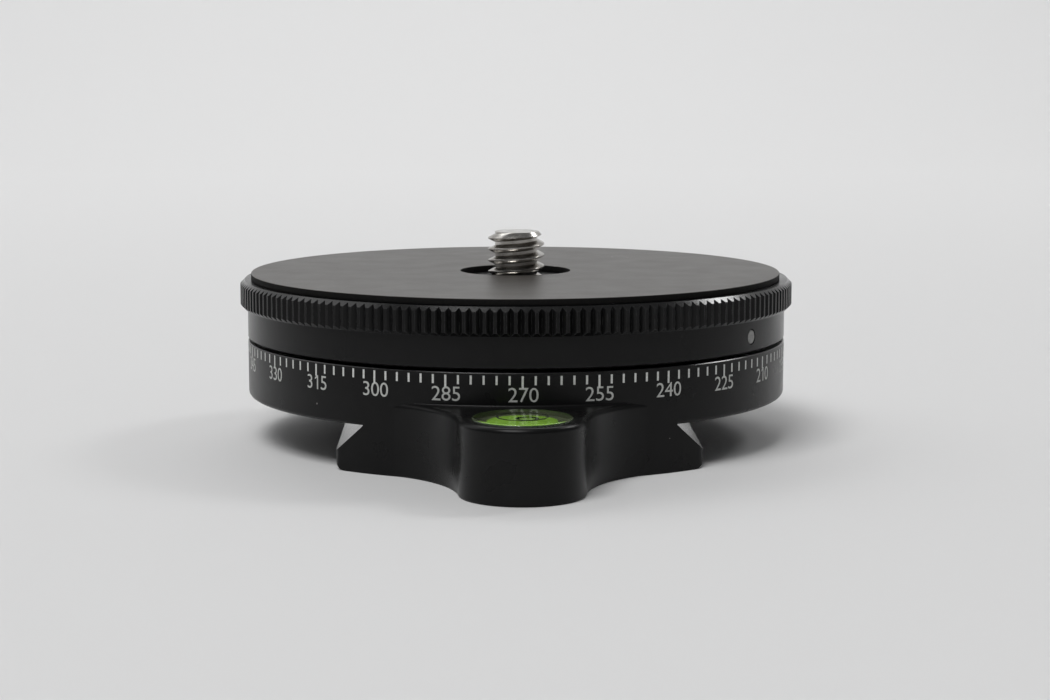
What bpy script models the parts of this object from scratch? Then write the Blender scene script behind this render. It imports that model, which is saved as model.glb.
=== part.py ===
"""Panoramic tripod base: a turning platform on a dovetail foot, with a bullseye level.

Metres, +Z up. Z is the pan axis, z = 0 is the underside of the foot, and the level
faces -Y. Three bodies move: the rotor turns about Z, and at the rear the lock knob
turns about Y and drives the brake shoe along Y. The size follows from two standards:
a 1/4 inch stud with 20 threads per inch on top, and a 38 mm dovetail foot below.
"""
import math

import bmesh
import bpy

# Clearances and cutting
seat_gap = 0.00005            # between flat faces that rest on each other
slip_gap = 0.0001             # all round a piece that is pressed, glued or screwed in
running_gap = 0.0003          # all round a piece that turns in another
overrun = 0.0005              # how far a cutter runs past the face that it cuts
weld_distance = 0.00001       # points nearer than this are one point

# How finely round shapes are cut into flats
disc_segments = 120
inner_segments = 72
small_segments = 48
screw_segments = 16
arc_steps = 6
flat_angle = 0.01             # radians: faces this near to one plane are one face
sharp_angle = 0.6             # radians: edges sharper than this stay sharp

# Dovetail foot, under the scale disc
foot_width = 0.0380
foot_height = 0.00495
foot_lip_height = 0.0023      # the upright part of each side, below the slope
foot_lip_round = 0.0009
foot_corner_round = 0.0012
foot_slope = math.radians(45)

# Scale disc
disc_radius = 0.0302
disc_thickness = 0.0062
disc_bottom_round = 0.0005
disc_top_chamfer = 0.00015
floor_web = 0.00125           # wall between the foot's height and the pocket's floor

# Level boss at the front, and the level in it
boss_height = 0.00765
boss_nose_radius = 0.00635
boss_blend_radius = 0.0140
root_depth = 0.0030           # how far boss and lug reach into the disc
blend_bite = 0.00004          # how far the blends run into the disc, so that they cross it
boss_top_round = 0.00055
boss_bottom_round = 0.0002
level_beyond_disc = 0.0072    # from the disc's rim out to the middle of the level
level_radius = 0.0050
level_proud = 0.00015         # how far the level stands out of the boss
level_height = 0.0039
level_wall = 0.0011
level_window = 0.0006
level_rim_chamfer = 0.0002
level_backing_thickness = 0.0005

# Lock lug at the rear, and its tapped hole
lug_width = 0.0127
lug_height = 0.0108
lug_clearance = 0.0010        # from the underside up to the lug
lug_beyond_disc = 0.0032      # from the disc's rim out to the lug's end face
lug_blend_radius = 0.0035
lug_corner_round = 0.0008
lug_edge_round = 0.0005
lock_height = 0.0080          # of the lock screw's axis above the underside

# Hub that holds the rotor down, and its screws
hub_radius = 0.0130
hub_flange_radius = 0.0180
hub_flange_thickness = 0.0010
hub_bore_radius = 0.0064
hub_recess_radius = 0.0074
hub_screw_circle = 0.0096
hub_screw_radius = 0.0015
hub_screw_head_radius = 0.0028
hub_screw_length = 0.0115
hub_screw_room = 0.0004       # past the screw's tip in its tapped hole
hub_screw_count = 4
hub_screw_sink = 0.0001       # how far its head lies inside the underside

# Tripod socket, a steel bush for a 3/8 inch screw
bush_radius = 0.0061
bush_bore_radius = 0.0040
bush_flange_radius = 0.0076
bush_flange_thickness = 0.0014
bush_length = 0.0094
bush_mouth_chamfer = 0.0007

# Bearing rings between hub and rotor
washer_thickness = 0.0005
washer_slack = 0.0002         # round the hub post
lower_washer_inset = 0.0008   # inside the pocket's wall
upper_washer_inset = 0.0002   # inside the hub's flange
sleeve_thickness = 0.0008
spring_height = 0.0008
spring_thickness = 0.0003
spring_inset = 0.0008         # inside the flange, and outside the post
spring_waves = 4
spring_segments = 48

# Rotor
rotor_gap = 0.00043           # the dark line between scale disc and rotor
spigot_inset = 0.0062         # inside the disc's rim
web_thickness = 0.0061
plate_ledge = 0.0047          # how far the rotor's ledge reaches under the plate
skirt_height = 0.00322
knurl_proud = 0.0008          # outside the disc's rim
knurl_height = 0.00304
knurl_teeth = 184
teeth_per_flat = 2            # the rotor's round faces have a flat for every two teeth
knurl_depth = 0.00045
knurl_groove_width = 0.00053
knurl_top_chamfer = 0.0005
knurl_bottom_chamfer = 0.0004
groove_margin_share = 0.3     # of the groove's depth, past the knurl's own radius

# Top plate, its screws and the pad glued on it
plate_inset = 0.0060          # inside the knurl's rim
plate_thickness = 0.0021
plate_screw_inset = 0.0026    # from the plate's rim to the screws' middles
plate_screw_radius = 0.00125
plate_screw_head_radius = 0.00225
plate_screw_length = 0.0055
plate_screw_room = 0.0004
plate_screw_count = 4
pad_inset = 0.0012            # inside the knurl's rim
pad_hole_radius = 0.00615
pad_thickness = 0.00065

# Stud: 1/4 inch, 20 threads per inch, right-handed
stud_radius = 0.003175
stud_pitch = 0.00127
stud_reach = 0.0044           # above the pad
stud_chamfer = 0.0008
stud_head_radius = 0.0060
stud_head_thickness = 0.0025
stud_hole_slack = 0.00022
thread_depth_share = 0.6134   # of the pitch
thread_crest_share = 0.125
thread_root_share = 0.25
thread_sink_share = 0.12      # how deep the ridge is rooted in the core
thread_steps = 18
thread_turns = 5

# Index dot on the rotor's skirt
dot_radius = 0.00072
dot_thickness = 0.00028
dot_sink = 0.00003
dot_drop = 0.00175            # below the knurl's lower edge
dot_angle = math.radians(-35.2)

# Screw heads and tips
head_rim = 0.0002
screw_tip = 0.0003
socket_share = 0.5            # of the head's radius
socket_depth_share = 0.45

# Brake shoe, lock screw, knob and cap
shoe_radius = 0.0019
shoe_gap = 0.00035            # to the spigot while the lock is open
shoe_length = 0.0028
lock_screw_radius = 0.0020
lock_screw_in_knob = 0.0063   # how far the screw reaches into the knob
knob_gap = 0.0005             # between lug and knob while the lock is open
knob_radius = 0.0065
knob_collar_radius = 0.0036
knob_collar_length = 0.0011
knob_edge_round = 0.0006
knob_teeth = 24
knob_groove_depth = 0.0004
knob_groove_width = 0.0007
knob_bore_room = 0.0002
cap_radius = 0.0035
cap_thickness = 0.0007
cap_sink = 0.0001

# Heights, worked out from the sizes above
disc_top = foot_height + disc_thickness
pocket_floor = foot_height + floor_web
lower_washer_bottom = pocket_floor + seat_gap
spigot_bottom = lower_washer_bottom + washer_thickness + seat_gap
skirt_bottom = disc_top + rotor_gap
knurl_bottom = skirt_bottom + skirt_height
rotor_top = knurl_bottom + knurl_height
web_top = spigot_bottom + web_thickness
upper_washer_bottom = web_top + seat_gap
spring_bottom = upper_washer_bottom + washer_thickness + seat_gap
flange_bottom = spring_bottom + spring_height + seat_gap
flange_top = flange_bottom + hub_flange_thickness
hub_bottom = pocket_floor + seat_gap
plate_bottom = rotor_top - plate_thickness
ledge_height = plate_bottom - seat_gap
pad_bottom = rotor_top + seat_gap
pad_top = pad_bottom + pad_thickness
stud_top = pad_top + stud_reach
stud_head_top = plate_bottom - seat_gap
stud_head_bottom = stud_head_top - stud_head_thickness
hub_recess_floor = stud_head_bottom - running_gap - running_gap
level_top = boss_height + level_proud
level_bottom = level_top - level_height
backing_top = level_bottom - seat_gap
backing_bottom = backing_top - level_backing_thickness
level_pocket_floor = backing_bottom - seat_gap

# Radii and places, worked out in the same way
spigot_radius = disc_radius - spigot_inset
pocket_radius = spigot_radius + running_gap
knurl_radius = disc_radius + knurl_proud
plate_radius = knurl_radius - plate_inset
plate_screw_circle = plate_radius - plate_screw_inset
chamber_radius = plate_radius - plate_ledge
pad_radius = knurl_radius - pad_inset
level_distance = disc_radius + level_beyond_disc
lug_reach = disc_radius + lug_beyond_disc
bore_radius = hub_radius + slip_gap + sleeve_thickness + slip_gap
plate_seat_radius = plate_radius + slip_gap
foot_half = foot_width / 2
neck_half = foot_half - (foot_height - foot_lip_height) / math.tan(foot_slope)
foot_top = foot_height + disc_bottom_round
boss_tip = level_distance + boss_nose_radius
shoe_face = spigot_radius + shoe_gap
shoe_back = shoe_face + shoe_length
lock_hole_radius = lock_screw_radius + slip_gap
lock_screw_start = shoe_back + seat_gap
knob_start = lug_reach + knob_gap
knob_end = boss_tip           # the knob reaches as far back as the boss reaches forward
knob_shoulder = knob_start + knob_collar_length
lock_screw_end = knob_start + lock_screw_in_knob
cap_seat = knob_end - cap_sink - cap_thickness - seat_gap
dot_height = knurl_bottom - dot_drop


def clear_scene():
    """Take away what the file holds already."""
    for old in list(bpy.data.objects):
        bpy.data.objects.remove(old, do_unlink=True)


def new_collection(name):
    collection = bpy.data.collections.new(name)
    bpy.context.scene.collection.children.link(collection)
    return collection


def new_material(name, colour, roughness, metallic, alpha=1.0):
    material = bpy.data.materials.new(name)
    material.use_nodes = True
    shader = material.node_tree.nodes["Principled BSDF"]
    shader.inputs["Base Color"].default_value = (*colour, 1.0)
    shader.inputs["Roughness"].default_value = roughness
    shader.inputs["Metallic"].default_value = metallic
    shader.inputs["Alpha"].default_value = alpha
    material.diffuse_color = (*colour, alpha)
    return material


def new_empty(name, location=(0, 0, 0), rotation=(0, 0, 0)):
    empty = bpy.data.objects.new(name, None)
    empty.location = location
    empty.rotation_euler = rotation
    parts.objects.link(empty)
    return empty


def new_object(name, data, collection):
    obj = bpy.data.objects.new(name, data)
    collection.objects.link(obj)
    return obj


def point_at(radius, angle):
    """A point in the plane, by its distance and direction from the centre."""
    return (radius * math.cos(angle), radius * math.sin(angle))


def arc(centre, radius, start, end, steps=arc_steps):
    """Points along an arc, from one angle to the other, with both ends."""
    points = []
    for step in range(steps + 1):
        x, y = point_at(radius, start + (end - start) * step / steps)
        points.append((centre[0] + x, centre[1] + y))
    return points


def turned(name, profile, segments, closed=True, collection=None):
    """A turned body. The profile's (radius, height) points run down its outer side."""
    points = [(radius, 0, height) for radius, height in profile]
    edges = [(index, index + 1) for index in range(len(points) - 1)]
    if closed:
        edges.append((len(points) - 1, 0))
    mesh = bpy.data.meshes.new(name)
    mesh.from_pydata(points, edges, [])
    obj = new_object(name, mesh, collection or parts)
    screw = obj.modifiers.new("turn", "SCREW")
    screw.steps = segments
    screw.render_steps = segments
    screw.use_merge_vertices = True
    screw.merge_threshold = weld_distance
    return obj


def solid_turned(name, profile, segments, collection=None):
    """A turned body without a hole: its open ends are each closed by one flat face."""
    obj = turned(name, profile, segments, closed=False, collection=collection)
    mesh = evaluated_mesh(obj)
    work = bmesh.new()
    work.from_mesh(mesh)
    rims = [edge for edge in work.edges if edge.is_boundary]
    bmesh.ops.holes_fill(work, edges=rims, sides=segments)
    bmesh.ops.recalc_face_normals(work, faces=work.faces)
    work.to_mesh(mesh)
    work.free()
    obj.modifiers.clear()
    obj.data = mesh
    return obj


def plain_disc(name, radius, bottom, top, segments, collection=None):
    """A plain cylinder between two heights."""
    mesh = bpy.data.meshes.new(name)
    work = bmesh.new()
    bmesh.ops.create_cone(work, cap_ends=True, segments=segments, radius1=radius, radius2=radius,
                          depth=top - bottom)
    bmesh.ops.translate(work, verts=work.verts, vec=(0, 0, (top + bottom) / 2))
    work.to_mesh(mesh)
    work.free()
    return new_object(name, mesh, collection or parts)


def flat_ring(name, outer, inner, bottom, top, segments):
    """A washer, from its two radii and two heights."""
    profile = [(outer, top), (outer, bottom), (inner, bottom), (inner, top)]
    return turned(name, profile, segments)


def evaluated_mesh(obj):
    bpy.context.view_layer.update()
    depsgraph = bpy.context.evaluated_depsgraph_get()
    return bpy.data.meshes.new_from_object(obj.evaluated_get(depsgraph))


def tidy_mesh(mesh):
    """Join the loose caps of a filled curve, and make each flat face one face."""
    work = bmesh.new()
    work.from_mesh(mesh)
    bmesh.ops.remove_doubles(work, verts=work.verts, dist=weld_distance)
    bmesh.ops.dissolve_limit(work, angle_limit=flat_angle, verts=work.verts, edges=work.edges)
    bmesh.ops.recalc_face_normals(work, faces=work.faces)
    work.to_mesh(mesh)
    work.free()


def flat_plate(name, outline, low, high, collection):
    """An outline in X and Y, filled, and made a solid between two heights."""
    curve = bpy.data.curves.new(name, "CURVE")
    curve.dimensions = "2D"
    curve.fill_mode = "BOTH"
    curve.extrude = (high - low) / 2
    spline = curve.splines.new("POLY")
    spline.points.add(len(outline) - 1)
    for spline_point, (x, y) in zip(spline.points, outline):
        spline_point.co = (x, y, 0, 1)
    spline.use_cyclic_u = True
    curve_object = new_object(name + "_curve", curve, collection)
    mesh = evaluated_mesh(curve_object)
    bpy.data.objects.remove(curve_object, do_unlink=True)
    tidy_mesh(mesh)
    plate = new_object(name, mesh, collection)
    plate.location.z = (high + low) / 2
    return plate


def round_edges(obj, top_round, bottom_round):
    """Round the upper and lower edges of a flat plate, each by its own radius."""
    work = bmesh.new()
    work.from_mesh(obj.data)
    weights = work.edges.layers.float.new("bevel_weight_edge")
    for edge in work.edges:
        heights = [vertex.co.z for vertex in edge.verts]
        if min(heights) > 0:
            edge[weights] = 1
        elif max(heights) < 0:
            edge[weights] = bottom_round / top_round
    work.to_mesh(obj.data)
    work.free()
    bevel = obj.modifiers.new("rounded edges", "BEVEL")
    bevel.limit_method = "WEIGHT"
    bevel.width = top_round
    bevel.segments = 3


def combine(target, other, operation):
    """Cut, join or keep the common part, with a guide that is hidden afterwards."""
    if other.name not in cutters.objects:
        parts.objects.unlink(other)
        cutters.objects.link(other)
    other.hide_render = True
    other.display_type = "WIRE"
    boolean = target.modifiers.new(other.name, "BOOLEAN")
    boolean.operation = operation
    boolean.solver = "EXACT"
    boolean.object = other


def settle(obj, material, parent):
    """Keep the finished shape as the mesh, shade it, and hang it on its body's empty."""
    mesh = evaluated_mesh(obj)
    mesh.name = obj.name
    mesh.shade_smooth()
    mesh.set_sharp_from_angle(angle=sharp_angle)
    mesh.materials.clear()
    mesh.materials.append(material)
    obj.modifiers.clear()
    obj.data = mesh
    obj.parent = parent
    return obj


def place_round_axis(obj, count, circle):
    """Spread copies of a piece evenly round Z, numbered from 1, each one its own object."""
    stem = obj.name
    height = obj.location.z
    for index in range(count):
        copy = obj if index == 0 else obj.copy()
        if index > 0:
            obj.users_collection[0].objects.link(copy)
        copy.name = f"{stem}_{index + 1}"
        x, y = point_at(circle, math.tau * (index + 1 / 2) / count)
        copy.location = (x, y, height)


def mirrored_outline(half):
    """Close a half outline that starts on the Y axis with its mirror image."""
    return half + [(-x, y) for x, y in reversed(half) if x > weld_distance]


def foot_plan():
    """The foot from above: straight sides, and ends that follow the scale disc."""
    centre_x = foot_half - foot_corner_round
    centre_y = math.sqrt((disc_radius - foot_corner_round) ** 2 - centre_x ** 2)
    corner_angle = math.atan2(centre_y, centre_x)
    step = math.tau / disc_segments
    quarter = arc((centre_x, centre_y), foot_corner_round, 0, corner_angle)
    angles = [index * step for index in range(disc_segments // 4)]
    quarter += [point_at(disc_radius, angle) for angle in angles if angle > corner_angle + step / 4]
    quarter.append((0, disc_radius))
    rear = quarter + [(-x, y) for x, y in reversed(quarter[:-1])]
    return rear + [(-x, -y) for x, y in rear]


def foot_profile():
    """The foot from the front: lower corners, upright lips, slopes and a straight neck."""
    lower = (foot_half - foot_lip_round, foot_lip_round)
    half = [(0, 0)] + arc(lower, foot_lip_round, -math.pi / 2, 0)
    half += [(foot_half, foot_lip_height), (neck_half, foot_height), (neck_half, foot_top), (0, foot_top)]
    return mirrored_outline(half)


def boss_plan():
    """The level boss from above: a round nose, and two hollow blends into the disc."""
    to_axis = disc_radius + boss_blend_radius - blend_bite
    to_nose = boss_nose_radius + boss_blend_radius
    along = (to_axis ** 2 - to_nose ** 2 + level_distance ** 2) / (2 * level_distance)
    across = math.sqrt(to_axis ** 2 - along ** 2)
    nose_angle = math.atan2(level_distance - along, across)
    blend_end = math.atan2(along, -across)
    nose = arc((0, -level_distance), boss_nose_radius, -math.pi / 2, nose_angle, 2 * arc_steps)
    blend = arc((across, -along), boss_blend_radius, math.pi + nose_angle, blend_end)
    root = point_at(disc_radius - root_depth, math.atan2(-along, across))
    return mirrored_outline(nose + blend[1:] + [root])


def lug_plan():
    """The lock lug from above: a flat end with round corners, and two blends."""
    half = lug_width / 2
    centre_x = half + lug_blend_radius
    centre_y = math.sqrt((disc_radius + lug_blend_radius - blend_bite) ** 2 - centre_x ** 2)
    corner = (half - lug_corner_round, lug_reach - lug_corner_round)
    blend_end = math.pi + math.atan2(centre_y, centre_x)
    points = [(0, lug_reach)] + arc(corner, lug_corner_round, math.pi / 2, 0)
    points += arc((centre_x, centre_y), lug_blend_radius, math.pi, blend_end)
    points.append(point_at(disc_radius - root_depth, math.atan2(centre_y, centre_x)))
    return mirrored_outline(points)


def knurl_plan(radius, depth, teeth, groove_width):
    """A round outline with V grooves, a little larger than the body that it trims."""
    margin = depth * groove_margin_share
    spread = groove_width / 2 * (depth + margin) / depth / (radius + margin)
    points = []
    for tooth in range(teeth):
        middle = (tooth + 1 / 2) * math.tau / teeth
        points.append(point_at(radius + margin, middle - spread))
        points.append(point_at(radius - depth, middle))
        points.append(point_at(radius + margin, middle + spread))
    return points


def screw_mesh(name, thread_radius, head_radius, length):
    """A countersunk screw with a hexagon socket: its head's face is at z = 0, its tip below."""
    neck = -head_rim - (head_radius - thread_radius)
    profile = [(head_radius, 0), (head_radius, -head_rim), (thread_radius, neck),
               (thread_radius, screw_tip - length), (thread_radius - screw_tip, -length)]
    screw = solid_turned(name, profile, screw_segments)
    depth = socket_depth_share * length / 2
    bpy.ops.mesh.primitive_cylinder_add(vertices=6, radius=head_radius * socket_share,
                                        depth=depth * 2)
    socket = bpy.context.object
    socket.name = name + "_socket"
    adopt(socket)
    combine(screw, socket, "DIFFERENCE")
    return screw


def screw_hole(name, thread_radius, head_radius, depth, count, circle, height, turn_over):
    """Cutters for the holes of countersunk screws, spread round Z, each with its cone."""
    wide = head_radius + slip_gap
    narrow = thread_radius + slip_gap
    cone_end = -head_rim - (wide - narrow)
    profile = [(wide, overrun), (wide, -head_rim), (narrow, cone_end), (narrow, -depth)]
    holes = []
    for index in range(count):
        hole = solid_turned(f"{name}_{index + 1}", profile, screw_segments, cutters)
        x, y = point_at(circle, math.tau * (index + 1 / 2) / count)
        hole.location = (x, y, height)
        hole.rotation_euler.x = math.pi if turn_over else 0
        holes.append(hole)
    return holes


def adopt(obj):
    """Move a primitive from the scene's own collection to the part's collection."""
    for collection in list(obj.users_collection):
        collection.objects.unlink(obj)
    parts.objects.link(obj)


def make_base_body():
    """Foot, scale disc, level boss and lock lug: one aluminium piece, turned and milled."""
    disc_profile = [(disc_radius - disc_top_chamfer, disc_top), (disc_radius, disc_top - disc_top_chamfer)]
    rounding_centre = (disc_radius - disc_bottom_round, foot_height + disc_bottom_round)
    disc_profile += arc(rounding_centre, disc_bottom_round, 0, -math.pi / 2, arc_steps // 2)
    body = solid_turned("base_body", disc_profile, disc_segments)

    foot = flat_plate("foot_section", foot_profile(), -disc_radius - overrun, disc_radius + overrun, cutters)
    foot.location.z = 0
    foot.rotation_euler.x = math.pi / 2
    plan = flat_plate("foot_ends", foot_plan(), -overrun, foot_top + overrun, cutters)
    combine(foot, plan, "INTERSECT")
    combine(body, foot, "UNION")

    boss = flat_plate("level_boss", boss_plan(), 0, boss_height, cutters)
    round_edges(boss, boss_top_round, boss_bottom_round)
    combine(body, boss, "UNION")
    lug = flat_plate("lock_lug", lug_plan(), lug_clearance, lug_height, cutters)
    round_edges(lug, lug_edge_round, lug_edge_round)
    combine(body, lug, "UNION")

    pocket = plain_disc("rotor_pocket", pocket_radius, pocket_floor, disc_top + overrun,
                        inner_segments, cutters)
    combine(body, pocket, "DIFFERENCE")
    seat_depth = bush_flange_thickness + seat_gap + seat_gap
    step = [(bush_flange_radius + slip_gap, pocket_floor + overrun),
            (bush_flange_radius + slip_gap, pocket_floor - seat_depth),
            (bush_radius + slip_gap, pocket_floor - seat_depth),
            (bush_radius + slip_gap, -overrun)]
    combine(body, solid_turned("bush_seat", step, small_segments, cutters), "DIFFERENCE")
    for hole in screw_hole("hub_screw_hole", hub_screw_radius, hub_screw_head_radius, pocket_floor + overrun,
                           hub_screw_count, hub_screw_circle, hub_screw_sink, True):
        combine(body, hole, "DIFFERENCE")
    well = plain_disc("level_pocket", level_radius + slip_gap, level_pocket_floor, boss_height + overrun,
                      small_segments, cutters)
    well.location.y = -level_distance
    combine(body, well, "DIFFERENCE")
    lock_hole = plain_disc("lock_hole", lock_hole_radius, spigot_radius - overrun, lug_reach + overrun,
                           small_segments, cutters)
    lock_hole.location.z = lock_height
    lock_hole.rotation_euler.x = -math.pi / 2
    combine(body, lock_hole, "DIFFERENCE")
    settle(body, anodised, base_frame)


def make_hub():
    """Flanged post, screwed down from below: its flange keeps the rotor from lifting off."""
    profile = [(hub_flange_radius, flange_top), (hub_flange_radius, flange_bottom),
               (hub_radius, flange_bottom), (hub_radius, hub_bottom),
               (hub_bore_radius, hub_bottom), (hub_bore_radius, hub_recess_floor),
               (hub_recess_radius, hub_recess_floor), (hub_recess_radius, flange_top)]
    hub = turned("hub", profile, small_segments)
    tapped = plain_disc("hub_tapped_hole", hub_screw_radius + slip_gap, hub_bottom - overrun,
                        hub_screw_sink + hub_screw_length + hub_screw_room, screw_segments, cutters)
    for index in range(hub_screw_count):
        hole = tapped if index == 0 else tapped.copy()
        if index > 0:
            cutters.objects.link(hole)
        x, y = point_at(hub_screw_circle, math.tau * (index + 1 / 2) / hub_screw_count)
        hole.location = (x, y, 0)
        combine(hub, hole, "DIFFERENCE")
    settle(hub, bare_aluminium, base_frame)


def make_hub_screws():
    screw = screw_mesh("hub_screw", hub_screw_radius, hub_screw_head_radius, hub_screw_length)
    settle(screw, dark_steel, base_frame)
    screw.rotation_euler.x = math.pi
    screw.location.z = hub_screw_sink
    place_round_axis(screw, hub_screw_count, hub_screw_circle)


def make_tripod_bush():
    """Steel socket: its flange is held between the base and the hub."""
    flange_top_height = pocket_floor - seat_gap
    flange_under = flange_top_height - bush_flange_thickness
    bottom = seat_gap
    top = bottom + bush_length
    mouth = bush_bore_radius + bush_mouth_chamfer
    profile = [(bush_radius, top), (bush_radius, flange_top_height),
               (bush_flange_radius, flange_top_height), (bush_flange_radius, flange_under),
               (bush_radius, flange_under), (bush_radius, bottom), (mouth, bottom),
               (bush_bore_radius, bottom + bush_mouth_chamfer), (bush_bore_radius, top)]
    settle(turned("tripod_bush", profile, small_segments), stainless, base_frame)


def make_bearing_rings():
    """Two thrust washers, the sleeve between post and rotor, and the wave spring."""
    inner = hub_radius + washer_slack
    lower = flat_ring("lower_thrust_washer", pocket_radius - lower_washer_inset, inner, lower_washer_bottom,
                      lower_washer_bottom + washer_thickness, small_segments)
    settle(lower, acetal, base_frame)
    sleeve = flat_ring("radial_bush", bore_radius - slip_gap, hub_radius + slip_gap, spigot_bottom,
                       web_top, small_segments)
    settle(sleeve, acetal, base_frame)
    upper = flat_ring("upper_thrust_washer", hub_flange_radius - upper_washer_inset, inner,
                      upper_washer_bottom, upper_washer_bottom + washer_thickness, small_segments)
    settle(upper, acetal, base_frame)
    spring = flat_ring("wave_spring", hub_flange_radius - spring_inset, hub_radius + spring_inset,
                       spring_bottom, spring_bottom + spring_thickness, spring_segments)
    settle(spring, spring_steel, base_frame)
    lift = (spring_height - spring_thickness) / 2
    for vertex in spring.data.vertices:
        turn = math.atan2(vertex.co.y, vertex.co.x)
        vertex.co.z += lift * (1 - math.cos(spring_waves * turn))


def make_level():
    """Bullseye level: a clear cup, the liquid in it, and a green disc that closes it."""
    inner = level_radius - level_wall
    ceiling = level_top - level_window
    cup = [(level_radius - level_rim_chamfer, level_top), (level_radius, level_top - level_rim_chamfer),
           (level_radius, level_bottom), (inner, level_bottom), (inner, ceiling)]
    settle(solid_turned("level_vial", cup, small_segments), acrylic, level_frame)
    fluid = plain_disc("level_fluid", inner - seat_gap, level_bottom, ceiling - seat_gap, small_segments)
    settle(fluid, liquid, level_frame)
    backing = plain_disc("level_backing", level_radius, backing_bottom, backing_top, small_segments)
    settle(backing, lime, level_frame)


def make_rotor():
    """Turning platform: knurled rim, plain skirt, and a spigot that runs in the pocket."""
    profile = [(knurl_radius - knurl_top_chamfer, rotor_top), (knurl_radius, rotor_top - knurl_top_chamfer),
               (knurl_radius, knurl_bottom + knurl_bottom_chamfer),
               (knurl_radius - knurl_bottom_chamfer, knurl_bottom), (disc_radius, knurl_bottom),
               (disc_radius, skirt_bottom), (spigot_radius, skirt_bottom), (spigot_radius, spigot_bottom),
               (bore_radius, spigot_bottom), (bore_radius, web_top), (chamber_radius, web_top),
               (chamber_radius, ledge_height), (plate_seat_radius, ledge_height),
               (plate_seat_radius, rotor_top)]
    rotor = turned("rotor", profile, knurl_teeth // teeth_per_flat)
    grooves = knurl_plan(knurl_radius, knurl_depth, knurl_teeth, knurl_groove_width)
    trim = flat_plate("rotor_knurl", grooves, spigot_bottom - overrun, rotor_top + overrun, cutters)
    combine(rotor, trim, "INTERSECT")
    tapped = plain_disc("plate_tapped_hole", plate_screw_radius + slip_gap,
                        rotor_top - plate_screw_length - plate_screw_room, rotor_top, screw_segments, cutters)
    for index in range(plate_screw_count):
        hole = tapped if index == 0 else tapped.copy()
        if index > 0:
            cutters.objects.link(hole)
        x, y = point_at(plate_screw_circle, math.tau * (index + 1 / 2) / plate_screw_count)
        hole.location = (x, y, 0)
        combine(rotor, hole, "DIFFERENCE")
    dimple_floor = disc_radius - dot_sink - dot_thickness - seat_gap
    dimple = plain_disc("index_dimple", dot_radius + slip_gap, dimple_floor, disc_radius + overrun,
                        screw_segments, cutters)
    aim_at_rim(dimple)
    combine(rotor, dimple, "DIFFERENCE")
    settle(rotor, anodised, pan_axis)


def aim_at_rim(obj):
    """Turn a piece that was made along Z so that it points out through the index dot."""
    obj.location.z = dot_height
    obj.rotation_euler = (0, math.pi / 2, dot_angle)


def make_index_dot():
    face = disc_radius - dot_sink
    dot = plain_disc("index_dot", dot_radius, face - dot_thickness, face, screw_segments)
    settle(dot, white_paint, pan_axis)
    aim_at_rim(dot)


def make_top_plate():
    """Round plate that closes the rotor and carries the stud."""
    plate = plain_disc("top_plate", plate_radius, plate_bottom, rotor_top, small_segments)
    stud_hole = plain_disc("stud_hole", stud_radius + stud_hole_slack, plate_bottom - overrun,
                           rotor_top + overrun, small_segments, cutters)
    combine(plate, stud_hole, "DIFFERENCE")
    for hole in screw_hole("plate_screw_hole", plate_screw_radius, plate_screw_head_radius,
                           plate_thickness + overrun, plate_screw_count, plate_screw_circle,
                           rotor_top, False):
        combine(plate, hole, "DIFFERENCE")
    settle(plate, anodised, pan_axis)


def make_plate_screws():
    screw = screw_mesh("top_plate_screw", plate_screw_radius, plate_screw_head_radius, plate_screw_length)
    settle(screw, dark_steel, pan_axis)
    screw.location.z = rotor_top - seat_gap
    place_round_axis(screw, plate_screw_count, plate_screw_circle)


def make_top_pad():
    """Thin round pad, glued over the plate and its screws."""
    pad = flat_ring("top_pad", pad_radius, pad_hole_radius, pad_bottom, pad_top, inner_segments)
    settle(pad, pad_rubber, pan_axis)


def make_thread_ridge(core_radius):
    """One unbroken ridge that climbs round the stud, rooted in its core."""
    root_radius = core_radius - thread_sink_share * stud_pitch
    crest_half = thread_crest_share * stud_pitch / 2
    core_half = (1 - thread_root_share) * stud_pitch / 2
    lean = (core_half - crest_half) / (stud_radius - core_radius)
    root_half = core_half + lean * (core_radius - root_radius)
    start = stud_top - thread_turns * stud_pitch
    section = [(root_radius, start - root_half), (stud_radius, start - crest_half),
               (stud_radius, start + crest_half), (root_radius, start + root_half)]
    work = bmesh.new()
    ring = [work.verts.new((radius, 0, height)) for radius, height in section]
    edges = [work.edges.new((ring[index - 1], ring[index])) for index in range(len(ring))]
    bmesh.ops.spin(work, geom=ring + edges, cent=(0, 0, 0), axis=(0, 0, 1),
                   dvec=(0, 0, stud_pitch / thread_steps), angle=thread_turns * math.tau,
                   steps=thread_turns * thread_steps)
    open_edges = [edge for edge in work.edges if edge.is_boundary]
    bmesh.ops.holes_fill(work, edges=open_edges, sides=len(section))
    bmesh.ops.recalc_face_normals(work, faces=work.faces)
    mesh = bpy.data.meshes.new("stud")
    work.to_mesh(mesh)
    work.free()
    return new_object("stud", mesh, parts)


def make_stud():
    """Steel stud: a hexagon head under the plate, and a threaded end above the pad."""
    core_radius = stud_radius - thread_depth_share * stud_pitch
    stud = make_thread_ridge(core_radius)
    core = plain_disc("stud_core", core_radius, stud_head_bottom + overrun, stud_top + overrun,
                      thread_steps, cutters)
    combine(stud, core, "UNION")
    limit = [(stud_radius - stud_chamfer, stud_top),
             (stud_radius + slip_gap, stud_top - stud_chamfer - slip_gap),
             (stud_radius + slip_gap, stud_head_bottom)]
    combine(stud, solid_turned("stud_limit", limit, thread_steps, cutters), "INTERSECT")
    bpy.ops.mesh.primitive_cylinder_add(vertices=6, radius=stud_head_radius, depth=stud_head_thickness,
                                        location=(0, 0, (stud_head_top + stud_head_bottom) / 2))
    head = bpy.context.object
    head.name = "stud_head"
    adopt(head)
    combine(stud, head, "UNION")
    settle(stud, stainless, pan_axis)


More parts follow.
